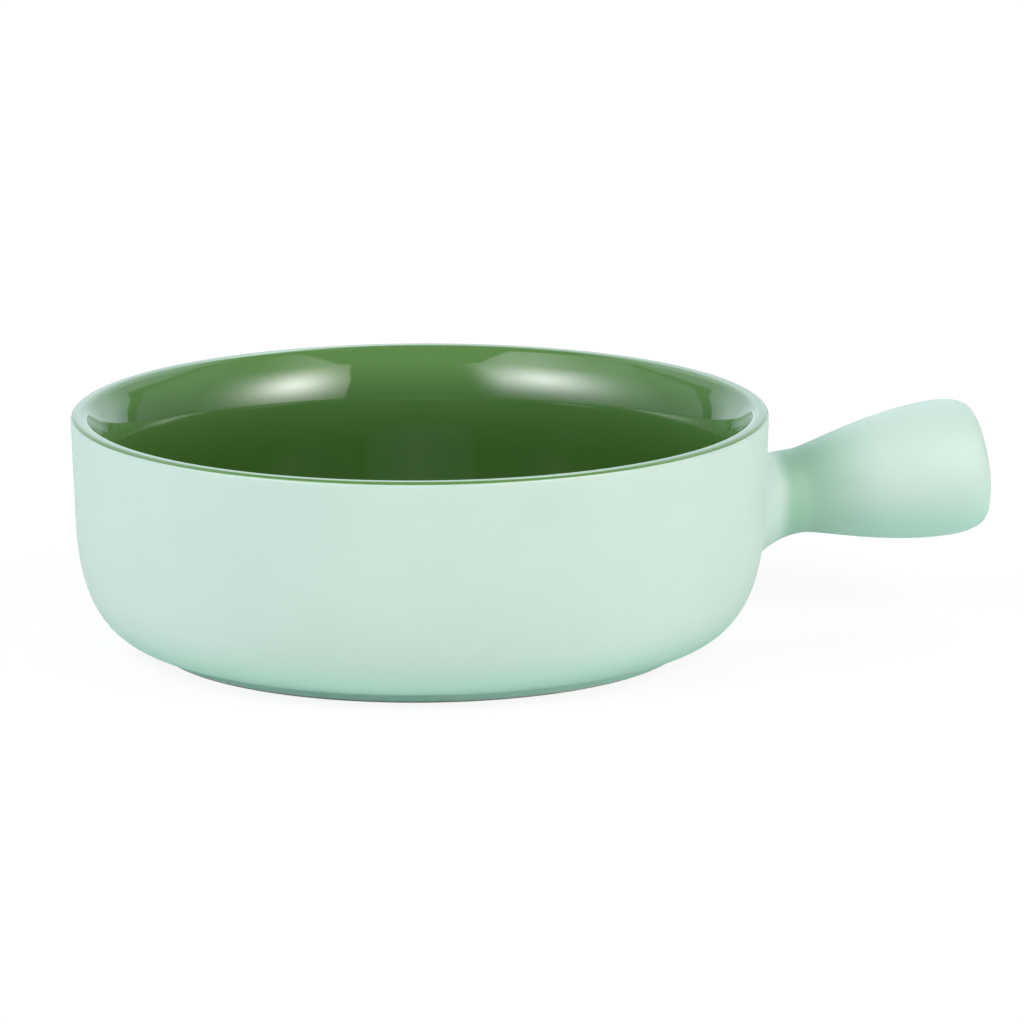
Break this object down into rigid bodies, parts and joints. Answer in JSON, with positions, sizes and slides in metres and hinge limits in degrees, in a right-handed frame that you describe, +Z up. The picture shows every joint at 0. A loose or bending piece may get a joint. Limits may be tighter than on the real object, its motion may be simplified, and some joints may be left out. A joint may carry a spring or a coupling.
{
  "type": "ovenproof bowl",
  "caption": "Round straight-sided ovenproof stoneware bowl with a flared hollow stub handle, matte glaze outside, glossy glaze inside and a low foot ring.",
  "frame": {"origin": "on the table under the foot, at the middle of the length and width of the bowl and its handle together", "axes": "+X along the handle away from the bowl, +Z up out of the bowl's mouth, +Y across the bowl, to the left of the handle"},
  "size_m": [0.2148, 0.16, 0.0545],
  "materials": {
    "stoneware": "bare fired clay, matte",
    "slip": "fired slip, matte",
    "mint_glaze": "matte pale mint glaze",
    "green_glaze": "glossy forest green glaze"
  },
  "bodies": {
    "root": {"bowl_body": "stoneware", "foot_ring": "stoneware", "handle_shell": "stoneware", "handle_slip_joint": "slip", "inner_glaze": "green_glaze", "outer_glaze": "mint_glaze", "handle_glaze": "mint_glaze", "base_glaze": "mint_glaze"}
  },
  "joints": []
}
